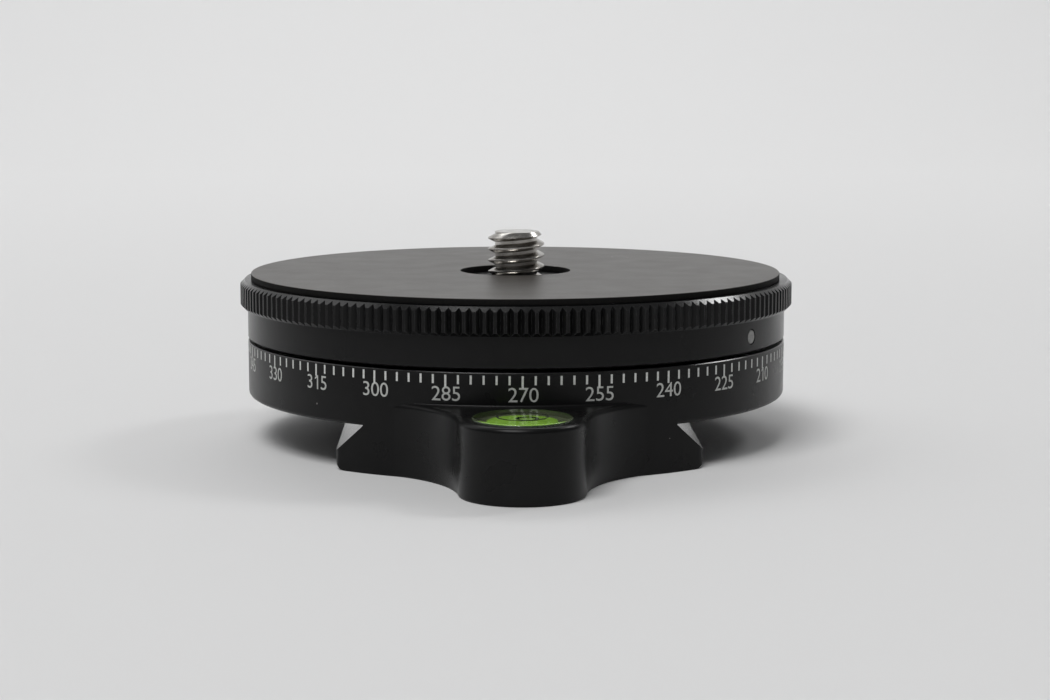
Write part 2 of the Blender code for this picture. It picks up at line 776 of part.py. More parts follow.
def make_brake_shoe():
    """Brass plug that the lock screw presses on the spigot: its face is hollowed to fit."""
    shoe = plain_disc("brake_shoe", shoe_radius, spigot_radius, shoe_back, small_segments)
    shoe.rotation_euler.x = -math.pi / 2
    shoe.location.z = lock_height
    spigot = plain_disc("spigot_space", shoe_face, lock_height - knob_radius, lock_height + knob_radius,
                        disc_segments, cutters)
    combine(shoe, spigot, "DIFFERENCE")
    settle(shoe, brass, None)
    hang(shoe)


def hang(obj):
    """Put a piece that was made at its place under the lock axis, without moving it."""
    obj.parent = lock_axis
    obj.location = (0, 0, 0)
    obj.rotation_euler = (0, 0, 0)


def make_lock_screw():
    tip = screw_tip
    profile = [(lock_screw_radius - tip, lock_screw_end), (lock_screw_radius, lock_screw_end - tip),
               (lock_screw_radius, lock_screw_start + tip), (lock_screw_radius - tip, lock_screw_start)]
    screw = solid_turned("lock_screw", profile, small_segments)
    settle(screw, dark_steel, lock_axis)


def make_lock_knob():
    """Grooved aluminium knob on the lock screw, with a seat for its cap."""
    end_centre = (knob_radius - knob_edge_round, knob_end - knob_edge_round)
    near_centre = (knob_radius - knob_edge_round, knob_shoulder + knob_edge_round)
    profile = arc(end_centre, knob_edge_round, math.pi / 2, 0, arc_steps // 2)
    profile += arc(near_centre, knob_edge_round, 0, -math.pi / 2, arc_steps // 2)
    profile += [(knob_collar_radius, knob_shoulder), (knob_collar_radius, knob_start)]
    knob = solid_turned("lock_knob", profile, knob_teeth)
    grooves = knurl_plan(knob_radius, knob_groove_depth, knob_teeth, knob_groove_width)
    trim = flat_plate("knob_grooves", grooves, knob_start - overrun, knob_end + overrun, cutters)
    combine(knob, trim, "INTERSECT")
    bore = plain_disc("knob_bore", lock_screw_radius + slip_gap, knob_start - overrun,
                      lock_screw_end + knob_bore_room, screw_segments, cutters)
    combine(knob, bore, "DIFFERENCE")
    seat = plain_disc("cap_space", cap_radius + slip_gap, cap_seat, knob_end + overrun,
                      small_segments, cutters)
    combine(knob, seat, "DIFFERENCE")
    settle(knob, anodised, lock_axis)


def make_knob_cap():
    cap = plain_disc("knob_cap", cap_radius, cap_seat + seat_gap, knob_end - cap_sink, small_segments)
    settle(cap, bare_aluminium, lock_axis)


clear_scene()
parts = new_collection("panoramic_tripod_base")
cutters = new_collection("cutters")

anodised = new_material("black_anodised", (0.012, 0.012, 0.013), 0.42, 0.6)
bare_aluminium = new_material("bare_aluminium", (0.62, 0.62, 0.63), 0.35, 1.0)
stainless = new_material("stainless_steel", (0.72, 0.71, 0.69), 0.22, 1.0)
dark_steel = new_material("blackened_steel", (0.05, 0.05, 0.055), 0.4, 1.0)
spring_steel = new_material("spring_steel", (0.40, 0.40, 0.42), 0.3, 1.0)
brass = new_material("brass", (0.70, 0.50, 0.20), 0.35, 1.0)
acetal = new_material("acetal", (0.80, 0.79, 0.75), 0.45, 0.0)
acrylic = new_material("clear_acrylic", (0.90, 0.93, 0.90), 0.05, 0.0, 0.35)
liquid = new_material("level_liquid", (0.72, 0.90, 0.45), 0.05, 0.0, 0.5)
lime = new_material("lime_backing", (0.35, 0.60, 0.05), 0.5, 0.0)
pad_rubber = new_material("pad_rubber", (0.05, 0.05, 0.05), 0.6, 0.0)
white_paint = new_material("index_paint", (0.55, 0.55, 0.54), 0.6, 0.0)

base_frame = new_empty("base_frame")
pan_axis = new_empty("pan_axis")
level_frame = new_empty("level_frame", location=(0, -level_distance, 0))
lock_axis = new_empty("lock_axis", location=(0, 0, lock_height), rotation=(-math.pi / 2, 0, 0))

make_base_body()
make_hub()
make_hub_screws()
make_tripod_bush()
make_bearing_rings()
make_level()
make_rotor()
make_index_dot()
make_top_plate()
make_plate_screws()
make_top_pad()
make_stud()
make_brake_shoe()
make_lock_screw()
make_lock_knob()
make_knob_cap()
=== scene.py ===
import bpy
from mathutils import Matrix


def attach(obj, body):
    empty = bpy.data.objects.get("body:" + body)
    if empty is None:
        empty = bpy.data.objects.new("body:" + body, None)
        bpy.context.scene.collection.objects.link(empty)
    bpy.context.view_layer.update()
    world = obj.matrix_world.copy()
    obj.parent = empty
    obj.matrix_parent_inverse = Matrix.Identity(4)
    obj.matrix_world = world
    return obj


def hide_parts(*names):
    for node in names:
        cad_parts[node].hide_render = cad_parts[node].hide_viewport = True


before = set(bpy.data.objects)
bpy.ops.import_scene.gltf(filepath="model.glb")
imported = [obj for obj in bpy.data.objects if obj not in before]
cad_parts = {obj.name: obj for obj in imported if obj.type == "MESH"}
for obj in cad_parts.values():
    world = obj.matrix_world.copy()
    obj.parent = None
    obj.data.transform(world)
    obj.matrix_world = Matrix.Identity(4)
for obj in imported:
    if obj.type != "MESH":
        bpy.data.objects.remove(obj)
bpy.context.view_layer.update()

import math

import bmesh
import bpy
from mathutils import Vector


# Base body: scale disc, 38 mm dovetail foot, level boss and lock lug. It is turned and milled
# from one aluminium bar, bead blasted and anodised black, and carries everything else.
disc_radius, disc_bottom, disc_top = 0.0302, 0.00495, 0.01108
boss_top, level_y = 0.00765, -0.0374
lock_z = 0.0080
overrun = 0.001                     # how far a cutter reaches past what it cuts
same_place = 0.00001                # points that lie closer than this count as one place
turned_gap = 0.000002               # and points of a turned shape that do are merged
axes = {"X": (1, 0, 0), "Y": (0, 1, 0), "Z": (0, 0, 1)}


def select_only(*pieces):
    """Select these objects and nothing else, the first one active."""
    bpy.ops.object.select_all(action="DESELECT")
    for piece in pieces:
        piece.select_set(True)
    bpy.context.view_layer.objects.active = pieces[0]


def edit_mode():
    """Go into edit mode with the whole mesh selected."""
    bpy.ops.object.mode_set(mode="EDIT")
    bpy.ops.mesh.select_all(action="SELECT")


def object_mode():
    """Go back to object mode."""
    bpy.ops.object.mode_set(mode="OBJECT")


def extrude(way):
    """Extrude what is selected along a way."""
    bpy.ops.mesh.extrude_region_move(TRANSFORM_OT_translate={"value": way})


def sweep(centre, degrees, steps, axis="Z", copies=False):
    """Spin what is selected round a centre: into an arc, a turned shape or copies."""
    bpy.ops.mesh.spin(steps=steps, dupli=copies, angle=-math.radians(degrees), center=centre,
                      axis=axes[axis])


def turn_selected(degrees, axis="Z", centre=(0, 0, 0)):
    """Turn what is selected; without a window the operator's own value turns the other way."""
    bpy.ops.transform.rotate(value=-math.radians(degrees), orient_axis=axis,
                             center_override=centre)


def merge_doubles(gap):
    """Merge all points of the edited mesh that lie closer than a gap."""
    bpy.ops.mesh.select_all(action="SELECT")
    bpy.ops.mesh.remove_doubles(threshold=gap)


def turn_outwards():
    """Turn all faces of the edited mesh outwards."""
    bpy.ops.mesh.select_all(action="SELECT")
    bpy.ops.mesh.normals_make_consistent(inside=False)


def pick(kind, wanted):
    """Select only the vertices, edges or faces of the edited mesh that pass a test."""
    bpy.ops.mesh.select_mode(type=kind)
    bpy.ops.mesh.select_all(action="DESELECT")
    edited = bpy.context.object.data
    work = bmesh.from_edit_mesh(edited)
    work.normal_update()
    for item in {"VERT": work.verts, "EDGE": work.edges, "FACE": work.faces}[kind]:
        if wanted(item):
            item.select_set(True)
    bmesh.update_edit_mesh(edited)


def level_with(*heights, axis=2):
    """A test for edges whose two ends both lie at one of these places on an axis."""
    return lambda edge: any(all(abs(vert.co[axis] - height) < same_place for vert in edge.verts)
                            for height in heights)


def round_edges(wanted, size, steps=1):
    """Bevel the edges of the edited mesh that pass a test."""
    pick("EDGE", wanted)
    bpy.ops.mesh.bevel(offset=size, segments=steps, affect="EDGES")


def taper(share, centre=(0, 0)):
    """Narrow the top face of the edited cylinder to a share of its width."""
    pick("FACE", lambda face: face.normal.z > 0.9)
    bpy.ops.transform.resize(value=(share, share, 1), center_override=(*centre, 0))


def start_outline(name, point):
    """One point in edit mode, from which an outline is drawn."""
    bpy.ops.object.select_all(action="DESELECT")
    bpy.ops.mesh.primitive_plane_add(size=0.001)
    outline = bpy.context.object
    outline.name = name
    bpy.ops.object.mode_set(mode="EDIT")
    bpy.ops.mesh.select_mode(type="VERT")
    bpy.ops.mesh.select_all(action="SELECT")
    bpy.ops.mesh.merge(type="CENTER")
    bpy.ops.transform.translate(value=point)
    return outline


def draw_line(*corners):
    """Extrude the outline's last point from corner to corner."""
    outline = bpy.context.object
    for corner in corners:
        work = bmesh.from_edit_mesh(outline.data)
        here = next(vert.co.copy() for vert in work.verts if vert.select)
        extrude(Vector(corner) - here)


def raise_outline(depth):
    """Close and fill the outline, extrude it into a plate, and leave edit mode."""
    merge_doubles(same_place)
    bpy.ops.mesh.edge_face_add()
    extrude(depth)
    turn_outwards()
    object_mode()


def add_cylinder(name, radius, low, high, steps, centre=(0, 0), axis="Z"):
    """A cylinder primitive between two places on its axis, with its place in its mesh."""
    bpy.ops.object.select_all(action="DESELECT")
    middle = (low + high) / 2
    place = (centre[0], centre[1], middle) if axis == "Z" else (centre[0], middle, centre[1])
    turn = (0, 0, 0) if axis == "Z" else (math.radians(-90), 0, 0)
    bpy.ops.mesh.primitive_cylinder_add(vertices=steps, radius=radius, depth=high - low,
                                        location=place, rotation=turn)
    bpy.ops.object.transform_apply(location=True, rotation=True, scale=True)
    bpy.context.object.name = name
    return bpy.context.object


def apply_modifier(piece, kind, **settings):
    """Give a selected piece a modifier with its settings, and apply it."""
    modifier = piece.modifiers.new("shape", kind)
    for setting, value in settings.items():
        setattr(modifier, setting, value)
    bpy.ops.object.modifier_apply(modifier="shape")


def combine(piece, other, operation):
    """Join, cut or trim a piece with another one, which is used up."""
    select_only(piece)
    apply_modifier(piece, "BOOLEAN", operation=operation, solver="EXACT", object=other)
    bpy.data.objects.remove(other, do_unlink=True)


def bore(piece, radius, low, high, steps, centre=(0, 0), axis="Z"):
    """Cut a round hole in a piece."""
    combine(piece, add_cylinder("bore", radius, low, high, steps, centre, axis), "DIFFERENCE")


def finish_piece(piece, body, finish, nodes=(), sharp=35):
    """Shade a piece, give it its material, and hang it on its body in place of CAD nodes."""
    select_only(piece)
    bpy.ops.object.shade_smooth_by_angle(angle=math.radians(sharp))
    apply_modifier(piece, "WEIGHTED_NORMAL", keep_sharp=True)
    piece.data.materials.clear()
    piece.data.materials.append(finish)
    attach(piece, body)
    if nodes:
        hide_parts(*nodes)


base_body = add_cylinder("base_body_dressed", disc_radius, disc_bottom, disc_top, 360)
edit_mode()
round_edges(level_with(disc_top), 0.00008)
round_edges(level_with(disc_bottom), 0.0005, 4)
object_mode()

# The foot's section is drawn at its front end and extruded back, then its ends are rounded.
foot_half, flat_half, neck_half, foot_reach = 0.01915, 0.01825, 0.01625, 0.031
foot_round, lip_top, neck_top = 0.0009, 0.00205, 0.00545
foot = start_outline("foot_section", (-flat_half, -foot_reach, 0))
draw_line((flat_half, -foot_reach, 0))
sweep((flat_half, -foot_reach, foot_round), -90, 6, "Y")
draw_line(*[(x, -foot_reach, z) for x, z in (
    (foot_half, lip_top), (neck_half, disc_bottom), (neck_half, neck_top), (-neck_half, neck_top),
    (-neck_half, disc_bottom), (-foot_half, lip_top), (-foot_half, foot_round))])
sweep((-flat_half, -foot_reach, foot_round), -90, 6, "Y")
raise_outline((0, 2 * foot_reach, 0))
end_x, end_y, end_turn, front_turn, ends_height = 0.01795, 0.0227771, 51.7594, 76.4812, 0.008
ends = start_outline("foot_ends", (foot_half, -end_y, -overrun))
for side in (1, -1):
    draw_line((side * foot_half, side * end_y, -overrun))
    sweep((side * end_x, side * end_y, 0), end_turn, 6)
    sweep((0, 0, 0), front_turn, 72)
    sweep((-side * end_x, side * end_y, 0), end_turn, 6)
raise_outline((0, 0, ends_height))
combine(foot, ends, "INTERSECT")
combine(base_body, foot, "UNION")

# The boss swings out of the foot in two hollow arcs round the level.
boss_x, boss_y, root_x, root_y = 0.0138434, -0.0267958, 0.0124875, -0.0241743
hollow_x, hollow_y, hollow_turn, boss_turn = 0.0202671, -0.0392345, 57.492, 169.6556
boss = start_outline("level_boss", (-boss_x, boss_y, 0))
sweep((-hollow_x, hollow_y, 0), -hollow_turn, 24)
sweep((0, level_y, 0), boss_turn, 60)
sweep((hollow_x, hollow_y, 0), -hollow_turn, 24)
draw_line((root_x, root_y, 0), (-root_x, root_y, 0), (-boss_x, boss_y, 0))
raise_outline((0, 0, boss_top))
edit_mode()
round_edges(level_with(boss_top), 0.00055, 5)
round_edges(level_with(0), 0.0002, 3)
object_mode()
combine(base_body, boss, "UNION")

# A small hollow corner runs along the disc where the boss meets it.
corner_round, corner_turn, corner_in, corner_down = 0.00013, 42, 0.0003, 0.0002
inner, outer = disc_radius - corner_in, disc_radius + corner_round
sunk, brow = boss_top - corner_down, boss_top + corner_round
corner = start_outline("boss_corner", (inner, 0, sunk))
draw_line((outer, 0, sunk), (outer, 0, boss_top))
sweep((outer, 0, brow), 90, 4, "Y")
draw_line((inner, 0, brow), (inner, 0, sunk))
merge_doubles(turned_gap)
turn_selected(-90 - corner_turn / 2)
bpy.ops.mesh.edge_face_add()
sweep((0, 0, 0), corner_turn, corner_turn)
merge_doubles(turned_gap)
turn_outwards()
object_mode()
combine(base_body, corner, "UNION")

# The lug at the rear carries the lock screw and runs into the disc with two hollow corners.
lug_bottom, lug_top, lug_half, lug_back = 0.001, 0.0108, 0.00635, 0.0334
lug_x, lug_y, side_x, side_y = 0.0088266, 0.0288395, 0.00985, 0.0321865
rear_x, rear_y, side_turn, inside_x, inside_y = 0.00555, 0.0326, 72.9844, 0.008, 0.0260
lug = start_outline("lock_lug", (-lug_x, lug_y, lug_bottom))
draw_line((-inside_x, inside_y, lug_bottom), (inside_x, inside_y, lug_bottom),
          (lug_x, lug_y, lug_bottom))
sweep((side_x, side_y, 0), -side_turn, 12)
draw_line((lug_half, rear_y, lug_bottom))
sweep((rear_x, rear_y, 0), 90, 6)
draw_line((-rear_x, lug_back, lug_bottom))
sweep((-rear_x, rear_y, 0), 90, 6)
draw_line((-lug_half, side_y, lug_bottom))
sweep((-side_x, side_y, 0), -side_turn, 12)
raise_outline((0, 0, lug_top - lug_bottom))
edit_mode()
round_edges(level_with(lug_bottom, lug_top), 0.0005, 4)
object_mode()
combine(base_body, lug, "UNION")

# Pocket of the rotor, seat and hole of the bush, well of the level, hole of the lock screw.
pocket_radius, pocket_floor, pocket_end = 0.0243, 0.0062, 0.013
seat_radius, seat_floor, seat_end = 0.0077, 0.0047, 0.007
bush_hole, bush_hole_end = 0.0062, 0.0055
well_radius, well_floor, well_end = 0.0051, 0.0032, 0.009
lock_hole, lock_hole_start, lock_hole_end = 0.0021, 0.0235, 0.034
bore(base_body, pocket_radius, pocket_floor, pocket_end, 180)
bore(base_body, seat_radius, seat_floor, seat_end, 96)
bore(base_body, bush_hole, -overrun, bush_hole_end, 96)
bore(base_body, well_radius, well_floor, well_end, 96, (0, level_y))
bore(base_body, lock_hole, lock_hole_start, lock_hole_end, 64, (0, lock_z), "Y")
screw_circle, hole_radius, hole_start = 0.0096, 0.0016, 0.0005
sink_radius, sink_low, sink_top = 0.0029, -0.0003, 0.0016
screw_places = [(screw_circle * math.cos(math.radians(turn)),
                 screw_circle * math.sin(math.radians(turn))) for turn in (45, 135, 225, 315)]
for place in screw_places:
    bore(base_body, hole_radius, hole_start, seat_end, 48, place)
    cone = add_cylinder("hub_screw_sink", sink_radius, sink_low, sink_top, 48, place)
    edit_mode()
    taper(hole_radius / sink_radius, place)
    pick("FACE", lambda face: face.normal.z < -0.9)
    extrude((0, 0, -overrun))
    object_mode()
    combine(base_body, cone, "DIFFERENCE")


def feed(socket, value):
    """Link a socket to another one, or give it a number, a vector or three parts of a colour."""
    if isinstance(value, bpy.types.NodeSocket):
        socket.id_data.links.new(value, socket)
    elif socket.type == "RGBA":
        socket.default_value = (*value, 1.0)
    else:
        socket.default_value = value


def feed_all(node, values):
    """Feed several of a node's inputs, each by its name or its number."""
    for socket, value in values.items():
        feed(node.inputs[socket], value)


def add_node(tree, kind, values):
    """A shader node of a kind, with its inputs fed."""
    node = tree.nodes.new("ShaderNode" + kind)
    feed_all(node, values)
    return node


def new_finish(name):
    """A material, its shader, and the piece's own coordinates."""
    finish = bpy.data.materials.new(name)
    finish.use_nodes = True
    place = add_node(finish.node_tree, "TexCoord", {}).outputs["Object"]
    return finish, finish.node_tree.nodes["Principled BSDF"], place


def new_effect(name, inputs, outputs):
    """An effect that several materials share, as a node group with named sockets."""
    effect = bpy.data.node_groups.new(name, "ShaderNodeTree")
    effect.interface.new_socket(name="Place", in_out="INPUT", socket_type="NodeSocketVector")
    for socket, value in inputs.items():
        made = effect.interface.new_socket(name=socket, in_out="INPUT",
                                           socket_type="NodeSocketFloat")
        made.default_value = value
    for socket in outputs:
        effect.interface.new_socket(name=socket, in_out="OUTPUT", socket_type="NodeSocketFloat")
    return (effect, effect.nodes.new("NodeGroupInput").outputs,
            effect.nodes.new("NodeGroupOutput").inputs)


def math_node(operation, first, second):
    """A Math node for two sockets."""
    node = add_node(first.id_data, "Math", {0: first, 1: second})
    node.operation = operation
    return node.outputs[0]


def noise_node(place, scale, detail=3.0, roughness=0.5):
    """A Noise Texture at a scale given in features per metre, read from a place socket."""
    return add_node(place.id_data, "TexNoise", {"Vector": place, "Scale": scale, "Detail": detail,
                                                "Roughness": roughness}).outputs["Fac"]


def range_node(value, low, high, to_low=0.0, to_high=1.0):
    """A Map Range node, clamped."""
    return add_node(value.id_data, "MapRange", {
        "Value": value, "From Min": low, "From Max": high, "To Min": to_low,
        "To Max": to_high}).outputs["Result"]


def mix_node(factor, first, second):
    """A Mix node for two colours, each a socket or three numbers."""
    node = factor.id_data.nodes.new("ShaderNodeMix")
    node.data_type = "RGBA"
    feed_all(node, {"Factor": factor, 6: first, 7: second})
    return node.outputs[2]


def bump_node(height, distance, strength):
    """The normal that a Bump node makes of a height."""
    return add_node(height.id_data, "Bump", {"Height": height, "Distance": distance,
                                             "Strength": strength}).outputs["Normal"]


def place_effect(effect, place, **values):
    """An effect placed in a material with its own values, read from a place socket."""
    node = place.id_data.nodes.new("ShaderNodeGroup")
    node.node_tree = effect
    feed_all(node, {"Place": place, **values})
    return node.outputs


# Blasted grain: the pitted skin that bead blasting leaves, and slow blotches of the dye.
grain, grain_in, grain_out = new_effect("blasted grain", {"Pits": 9000.0}, ("Height", "Blotch"))
pits = noise_node(grain_in["Place"], grain_in["Pits"], 3.0, 0.6)
feed(grain_out["Height"], range_node(pits, 0.3, 0.7))
feed(grain_out["Blotch"], range_node(noise_node(grain_in["Place"], 260.0), 0.3, 0.7))

# Dust: a few pale specks that lie about a surface, each in its own cell of a Voronoi pattern.
dust, dust_in, dust_out = new_effect("dust specks", {"Cells": 420.0, "Share": 0.25, "Size": 0.05},
                                     ("Specks",))
cells = add_node(dust, "TexVoronoi", {"Vector": dust_in["Place"], "Scale": dust_in["Cells"]})
lot = add_node(dust, "SeparateColor", {"Color": cells.outputs["Color"]})
drawn = math_node("LESS_THAN", lot.outputs["Red"], dust_in["Share"])
own_size = math_node("MULTIPLY", dust_in["Size"], lot.outputs["Green"])
inside = math_node("LESS_THAN", cells.outputs["Distance"], own_size)
feed(dust_out["Specks"], math_node("MULTIPLY", drawn, inside))

# Worn edges: where a small bevel turns the normal, the black has rubbed thinner.
wear, wear_in, wear_out = new_effect("worn edges", {"Amount": 0.5}, ("Worn",))
bevelled = add_node(wear, "Bevel", {"Radius": 0.00012})
bevelled.samples = 4
turned = add_node(wear, "VectorMath", {
    0: bevelled.outputs["Normal"], 1: add_node(wear, "NewGeometry", {}).outputs["Normal"]})
turned.operation = "DOT_PRODUCT"
edge_mask = range_node(turned.outputs["Value"], 0.995, 0.90)
patches = range_node(noise_node(wear_in["Place"], 1500.0), 0.35, 0.65)
rubbed = math_node("MULTIPLY", edge_mask, patches)
feed(wear_out["Worn"], math_node("MULTIPLY", rubbed, wear_in["Amount"]))


def black_anodised(name, dusty=0.12, rough=(0.26, 0.33), rubbed=0.35, shine=0.17, tint=(1, 1, 1)):
    """Satin black anodised aluminium, with blasted grain, rubbed edges and a little dust."""
    finish, shader, place = new_finish(name)
    skin = place_effect(grain, place)
    worn = place_effect(wear, place, Amount=rubbed)
    specks = place_effect(dust, place, Cells=520.0, Share=dusty, Size=0.07)
    dyed = mix_node(skin["Blotch"], (0.0050, 0.0050, 0.0051), (0.0072, 0.0072, 0.0074))
    rubbed_colour = mix_node(worn["Worn"], dyed, (0.05, 0.05, 0.052))
    feed_all(shader, {
        "Base Color": mix_node(specks["Specks"], rubbed_colour, (0.22, 0.21, 0.20)),
        "Roughness": range_node(skin["Blotch"], 0.0, 1.0, *rough),
        "Specular IOR Level": shine, "Specular Tint": tint,
        "Normal": bump_node(skin["Height"], 0.000006, 0.4)})
    return finish


def assign_faces(piece, finish, wanted):
    """Give the faces that pass a test another material."""
    select_only(piece)
    piece.data.materials.append(finish)
    piece.active_material_index = len(piece.data.materials) - 1
    edit_mode()
    pick("FACE", wanted)
    bpy.ops.object.material_slot_assign()
    object_mode()


def height_of(face):
    """How high the middle of a face lies."""
    return face.calc_center_median().z


finish_piece(base_body, "base", black_anodised("base_anodising"), ["base_body"])
slope_finish = black_anodised("slope_anodising", 0.0, (0.10, 0.14), shine=0.20,
                              tint=(1.0, 0.93, 0.88))
assign_faces(base_body, slope_finish,
             lambda face: abs(abs(face.normal.x) - 0.7071) < 0.01
             and abs(face.normal.z - 0.7071) < 0.01 and 0.002 < height_of(face) < 0.005)
chamfer_finish = black_anodised("chamfer_anodising", 0.0, (0.16, 0.20), 0.6, 0.58)
assign_faces(base_body, chamfer_finish,
             lambda face: 0.5 < face.normal.z < 0.9 and height_of(face) > disc_top - 0.0001)


# Scale: laser marks burnt pale through the black, one line every 2.5 degrees and a longer
# one above each number. They stand 0.012 mm proud here, so that they show.
mark_top, short_bottom, long_bottom, mark_width = 0.01078, 0.00985, 0.00952, 0.00022
mark_proud, mark_sunk = 0.000012, 0.00003
mark_step, number_step = 2.5, 15
marks_turn = 0.30                   # degrees that the marks sit round from the boss
marks_tilt = 0.30                   # and by which they rise to the left


def add_block(name, low, high):
    """A cube primitive drawn out between two corners, with its place in its mesh."""
    bpy.ops.object.select_all(action="DESELECT")
    bpy.ops.mesh.primitive_cube_add(size=1, location=[(a + b) / 2 for a, b in zip(low, high)])
    block = bpy.context.object
    block.name = name
    block.scale = [b - a for a, b in zip(low, high)]
    bpy.ops.object.transform_apply(location=True, rotation=True, scale=True)
    return block


def join_pieces(*pieces):
    """Join objects into the first one."""
    select_only(*pieces)
    bpy.ops.object.join()
    return pieces[0]


def add_mark(name, bottom):
    """One line of the scale, at the front."""
    return add_block(name, (-mark_width / 2, -disc_radius - mark_proud, bottom),
                     (mark_width / 2, -disc_radius + mark_sunk, mark_top))


def uneven_finish(name, dark, pale, rough, size=1200.0, metal=0.0):
    """A finish whose colour, and gloss if rough is a pair, changes slowly over the surface."""
    finish, shader, place = new_finish(name)
    change = range_node(noise_node(place, size), 0.3, 0.7)
    if isinstance(rough, tuple):
        rough = range_node(change, 0.0, 1.0, *rough)
    feed_all(shader, {"Base Color": mix_node(change, dark, pale), "Roughness": rough,
                      "Metallic": metal})
    return finish


scale_marks = add_mark("scale_marks", short_bottom)
edit_mode()
turn_selected(mark_step)
sweep((0, 0, 0), 4 * mark_step, 4, copies=True)
object_mode()
join_pieces(scale_marks, add_mark("long_mark", long_bottom))
edit_mode()
sweep((0, 0, 0), 360 - number_step, 23, copies=True)
bpy.ops.mesh.select_all(action="SELECT")
turn_selected(marks_turn)
turn_selected(marks_tilt, "Y", (0, 0, long_bottom))
object_mode()
finish_piece(scale_marks, "base",
             uneven_finish("laser_line", (0.56, 0.57, 0.55), (0.74, 0.75, 0.73), 0.6, 6000.0))


# Numbers of the scale: every 15 degrees, falling from left to right, in a narrow plain face.
# They are marked by the same laser, 1.46 mm high, and touch their lines. The lug at the rear
# takes the place of three.
digit_height, digit_width, digit_step, digit_foot = 0.00146, 1.04, 0.00107, 0.00812
front_number, lug_numbers, fine_gap = 270, (75, 90, 105), 0.000001
numbers_turn = 0.15                 # degrees that the numbers sit round from their lines
numbers_out, number_depth, former_bottom, former_top = 0.0002, 0.00004, 0.007, 0.011


def draw_digit(digit):
    """One digit, flat and upright, its foot at the origin; the 1 is drawn without a foot."""
    if digit == "1":
        glyph = start_outline("digit_1", (0.00004, 0, 0))
        draw_line((0.00022, 0, 0), (0.00022, 0, digit_height), (0.00010, 0, digit_height),
                  (-0.00026, 0, 0.00122), (-0.00026, 0, 0.00102), (0.00004, 0, 0.00122),
                  (0.00004, 0, 0))
        merge_doubles(fine_gap)
        bpy.ops.mesh.edge_face_add()
        pick("FACE", lambda face: face.normal.y > 0)
        bpy.ops.mesh.flip_normals()
        object_mode()
        return glyph
    bpy.ops.object.select_all(action="DESELECT")
    bpy.ops.object.text_add()
    text = bpy.context.object.data
    text.body, text.align_x, text.offset, text.resolution_u = digit, "CENTER", -0.002, 5
    bpy.ops.object.convert(target="MESH")
    glyph = bpy.context.object
    glyph.name = "digit_" + digit
    heights = [vert.co.y for vert in glyph.data.vertices]
    size = digit_height / (max(heights) - min(heights))
    edit_mode()
    bpy.ops.transform.translate(value=(0, -min(heights), 0))
    bpy.ops.transform.resize(value=(size * digit_width, size, size), center_override=(0, 0, 0))
    object_mode()
    glyph.rotation_euler.x = math.radians(90)
    bpy.ops.object.transform_apply(location=True, rotation=True, scale=True)
    return glyph


digits = {digit: draw_digit(digit) for digit in "0123456789"}
number_pieces = []
for turn in range(0, 360, number_step):
    number = (front_number - turn) % 360
    if number in lug_numbers:
        continue
    angle = math.radians(turn + numbers_turn) + math.radians(marks_turn)
    out = disc_radius + numbers_out
    for index, digit in enumerate(str(number)):
        copied = digits[digit].copy()
        copied.data = digits[digit].data.copy()
        bpy.context.scene.collection.objects.link(copied)
        across = (index - (len(str(number)) - 1) / 2) * digit_step
        copied.location = (across * math.cos(angle) + out * math.sin(angle),
                           across * math.sin(angle) - out * math.cos(angle), digit_foot)
        copied.rotation_euler.z = angle
        number_pieces.append(copied)
for glyph in digits.values():
    bpy.data.objects.remove(glyph, do_unlink=True)
scale_numbers = join_pieces(*number_pieces)
bpy.ops.object.transform_apply(location=True, rotation=True, scale=True)
scale_numbers.name = "scale_numbers"
edit_mode()
turn_selected(marks_tilt, "Y", (0, 0, long_bottom))
object_mode()
former = add_cylinder("former", disc_radius, former_bottom, former_top, 720)
select_only(scale_numbers)
apply_modifier(scale_numbers, "SHRINKWRAP", target=former, wrap_method="NEAREST_SURFACEPOINT",
               wrap_mode="ABOVE_SURFACE", offset=mark_proud)
apply_modifier(scale_numbers, "SOLIDIFY", thickness=number_depth, offset=-1)
bpy.data.objects.remove(former, do_unlink=True)
finish_piece(scale_numbers, "base",
             uneven_finish("laser_number", (0.44, 0.45, 0.43), (0.57, 0.58, 0.56), 0.6, 6000.0))


# Rotor: the turning platform, a turned aluminium ring with 184 straight knurled teeth, a plain
# skirt and the spigot that runs in the base. One tooth is drawn, then set round the axis.
teeth, crest_radius, groove_radius = 184, 0.0310, 0.03060
crest_top, crest_bottom, groove_top, groove_bottom = 0.01734, 0.0152, 0.01774, 0.01482
rotor_top, knurl_bottom, skirt_bottom = 0.01784, 0.0148, 0.01142
face_edge, skirt_edge, skirt_chamfer = 0.0305, 0.03005, 0.01157
plate_radius, plate_seat, hollow_radius, web_top = 0.0251, 0.01569, 0.0203, 0.0129
spigot_radius, spigot_bottom, post_radius = 0.0240, 0.0068, 0.0140
pitch, groove_spread = 360 / teeth, 0.105
rotor_profile = [(plate_radius, plate_seat), (plate_radius, rotor_top), (face_edge, rotor_top),
                 (crest_radius, crest_top), (crest_radius, crest_bottom),
                 (groove_radius, knurl_bottom), (disc_radius, knurl_bottom),
                 (disc_radius, skirt_chamfer), (skirt_edge, skirt_bottom),
                 (spigot_radius, skirt_bottom), (spigot_radius, spigot_bottom),
                 (post_radius, spigot_bottom), (post_radius, web_top), (hollow_radius, web_top),
                 (hollow_radius, plate_seat), (plate_radius, plate_seat)]
rotor = start_outline("rotor_dressed", (plate_radius, 0, plate_seat))
draw_line(*[(radius, 0, height) for radius, height in rotor_profile[1:]])
merge_doubles(fine_gap)
turn_selected(-pitch / 2)
sweep((0, 0, 0), pitch, 4)
